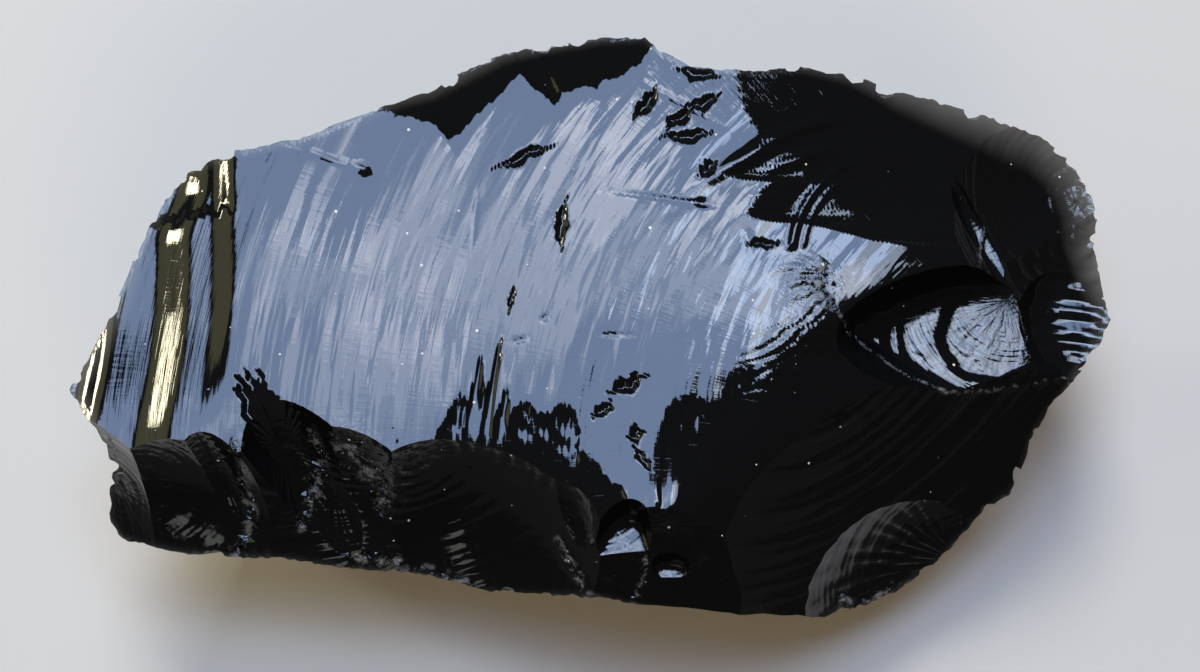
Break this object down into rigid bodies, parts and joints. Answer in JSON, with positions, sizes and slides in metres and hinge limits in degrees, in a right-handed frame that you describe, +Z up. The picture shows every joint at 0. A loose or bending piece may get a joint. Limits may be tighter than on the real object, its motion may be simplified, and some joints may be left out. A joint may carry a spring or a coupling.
{
  "type": "obsidian chunk",
  "caption": "Free-standing chunk of black volcanic glass with shell-shaped fracture faces, a broad glossy top and sharp edges; rests on a flat base.",
  "frame": {"origin": "middle of the footprint, on the plane the stone rests on", "axes": "+X along the longest side, towards the end with the hollow scoop; +Y to the back; +Z up, out of the broad main face"},
  "size_m": [0.1274, 0.0696, 0.038],
  "materials": {
    "obsidian": "gloss"
  },
  "bodies": {
    "root": {"obsidian_chunk": "obsidian"}
  },
  "joints": []
}
